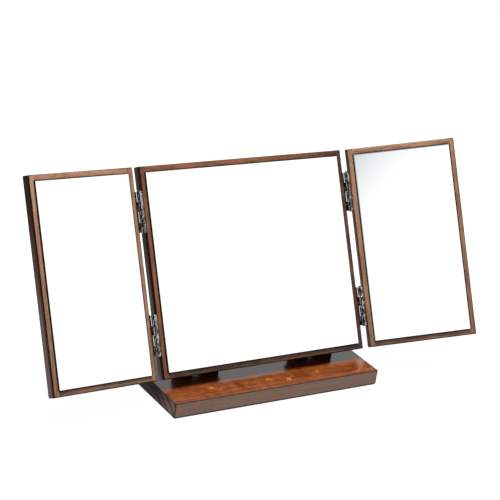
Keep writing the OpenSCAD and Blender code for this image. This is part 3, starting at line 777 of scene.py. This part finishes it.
# ------------------------------------------------------------------ supports
def support_wood(seed, vertical):
    def f(v):
        a = (v.z, v.y, v.x) if vertical else (v.x, v.y, v.z)
        return {"wco": (a[0] + seed*0.37, a[1] + seed*0.11, a[2] + seed*0.23), "dep": 0.008, "hgt": 0.4}
    return f


for i, n in enumerate(("left_outer_ear", "left_inner_ear", "right_inner_ear", "right_outer_ear")):
    from_cad(n + "_wood", n, "base", [MAT["support"]], I4, 0.7*MM, 3, support_wood(i + 1, True), 40)
for i, n in enumerate(("left_tongue", "right_tongue")):
    from_cad(n + "_wood", n, "centre_panel", [MAT["tongue"]], M_C, 0.6*MM, 3, support_wood(i + 7, True), 40)

# ------------------------------------------------------------------ metal
for n in ("left_pivot_bolt", "right_pivot_bolt", "left_cap_nut", "right_cap_nut"):
    from_cad(n + "_metal", n, "base", [MAT["black"]], I4, 0.2*MM, 2)
from_cad("bolt_washers_metal", "bolt_washers", "base", [MAT["black"]], I4, 0.15*MM, 2)
for side in ("left", "right"):
    for k in ("upper", "lower"):
        from_cad(f"{side}_{k}_centre_leaf_metal", f"{side}_{k}_hinge_centre_leaf", "centre_panel", [MAT["hinge"]], M_C, 0.12*MM, 2)
        from_cad(f"{side}_{k}_wing_leaf_metal", f"{side}_{k}_hinge_wing_leaf", side + "_wing", [MAT["hinge"]], M_L if side == "left" else M_R, 0.12*MM, 2)
    from_cad(f"{side}_hinge_pins_metal", f"{side}_hinge_pins", "centre_panel", [MAT["hinge"]], M_C, 0.12*MM, 2)


def dress(node, mat):
    o = NODES[node]
    o.data.materials.clear()
    o.data.materials.append(mat)


for n in ("ear_screws", "tongue_screws"):
    dress(n, MAT["steel"])
for n in ("centre_hinge_screws", "left_wing_hinge_screws", "right_wing_hinge_screws"):
    dress(n, MAT["steel"])
for n in ("centre_mirror_tape", "left_wing_mirror_tape", "right_wing_mirror_tape"):
    dress(n, MAT["tape"])
dress("friction_washers", MAT["fibre"])
dress("base_felt", MAT["felt"])

# ------------------------------------------------------------------ floor and light
floor_mat = Mat("pale_floor")
fn = floor_mat.noise(floor_mat.scale(floor_mat.obj(), (3, 3, 3)), 1, 3, 0.5)
floor_mat.set(Base_Color=floor_mat.mix(floor_mat.remap(fn, 0.3, 0.7), (0.075, 0.075, 0.075), (0.085, 0.085, 0.085)), Roughness=0.8,
              Specular_IOR_Level=0.0, Emission_Color=(1, 1, 1, 1), Emission_Strength=0.97)
bpy.ops.mesh.primitive_plane_add(size=30, location=(0, 0, -0.0002))
floor = bpy.context.object
floor.name = "floor"
floor.data.materials.append(floor_mat.m)

# a pale studio: bright low down, dimmer above, with three soft white screens that the mirrors and the base face
world = bpy.data.worlds.new("studio")
scene.world = world
world.use_nodes = True
wt = world.node_tree
bg = wt.nodes["Background"]
tc = wt.nodes.new("ShaderNodeTexCoord")


def wmap(value, a, b, c, d):
    mr = wt.nodes.new("ShaderNodeMapRange")
    mr.interpolation_type = "SMOOTHSTEP"
    wt.links.new(value, mr.inputs["Value"])
    for k, v in (("From Min", a), ("From Max", b), ("To Min", c), ("To Max", d)):
        mr.inputs[k].default_value = v
    return mr.outputs["Result"]


def wmath(op, a, b):
    n = wt.nodes.new("ShaderNodeMath")
    n.operation = op
    for i, v in enumerate((a, b)):
        if isinstance(v, bpy.types.NodeSocket):
            wt.links.new(v, n.inputs[i])
        else:
            n.inputs[i].default_value = v
    return n.outputs[0]


def toward(direction, inner, outer, level):
    """level towards a direction, 0 away from it; inner and outer in degrees."""
    dot = wt.nodes.new("ShaderNodeVectorMath")
    dot.operation = "DOT_PRODUCT"
    wt.links.new(tc.outputs["Generated"], dot.inputs[0])
    dot.inputs[1].default_value = Vector(direction).normalized()
    return wmap(dot.outputs["Value"], math.cos(math.radians(outer)), math.cos(math.radians(inner)), 0.0, level)


wz = wt.nodes.new("ShaderNodeSeparateXYZ")
wt.links.new(tc.outputs["Generated"], wz.inputs[0])
low = wmap(wz.outputs[2], 0.04, 0.30, 1.0, 0.36)
screens = wmath("MAXIMUM", toward((0.55, -0.745, 0.385), 15, 26, 1.10), toward((-0.05, -0.93, 0.37), 8.3, 14.2, 1.10))
screens = wmath("MAXIMUM", screens, toward((0.537, 0.753, 0.378), 14, 32, 0.95))
dark = wmath("MULTIPLY", toward((-0.72, -0.62, 0.33), 14, 32, 1.0), wmap(wz.outputs[2], 0.08, 0.20, 0.0, 1.0))
low = wmath("MULTIPLY", low, wmath("SUBTRACT", 1.0, wmath("MULTIPLY", dark, 0.93)))
level = wmath("MAXIMUM", low, screens)
tint = wt.nodes.new("ShaderNodeMix")
tint.data_type = "RGBA"
wt.links.new(wmap(level, 0.45, 1.05, 0.0, 1.0), tint.inputs[0])
tint.inputs[6].default_value = (0.84, 0.92, 1.0, 1)
tint.inputs[7].default_value = (1, 1, 1, 1)
wt.links.new(tint.outputs[2], bg.inputs["Color"])
wt.links.new(level, bg.inputs["Strength"])


def area(name, loc, target, size, power):
    l = bpy.data.lights.new(name, "AREA")
    l.shape = "SQUARE"
    l.size = size
    l.energy = power
    o = bpy.data.objects.new(name, l)
    o.location = loc
    o.rotation_euler = (Vector(target) - Vector(loc)).to_track_quat("-Z", "Y").to_euler()
    scene.collection.objects.link(o)


area("top_softbox", (-0.05, 0.10, 1.6), (0, 0, 0.1), 0.8, 88)

scene.view_settings.view_transform = "Standard"
scene.view_settings.look = "None"
scene.view_settings.exposure = 0
scene.view_settings.gamma = 1
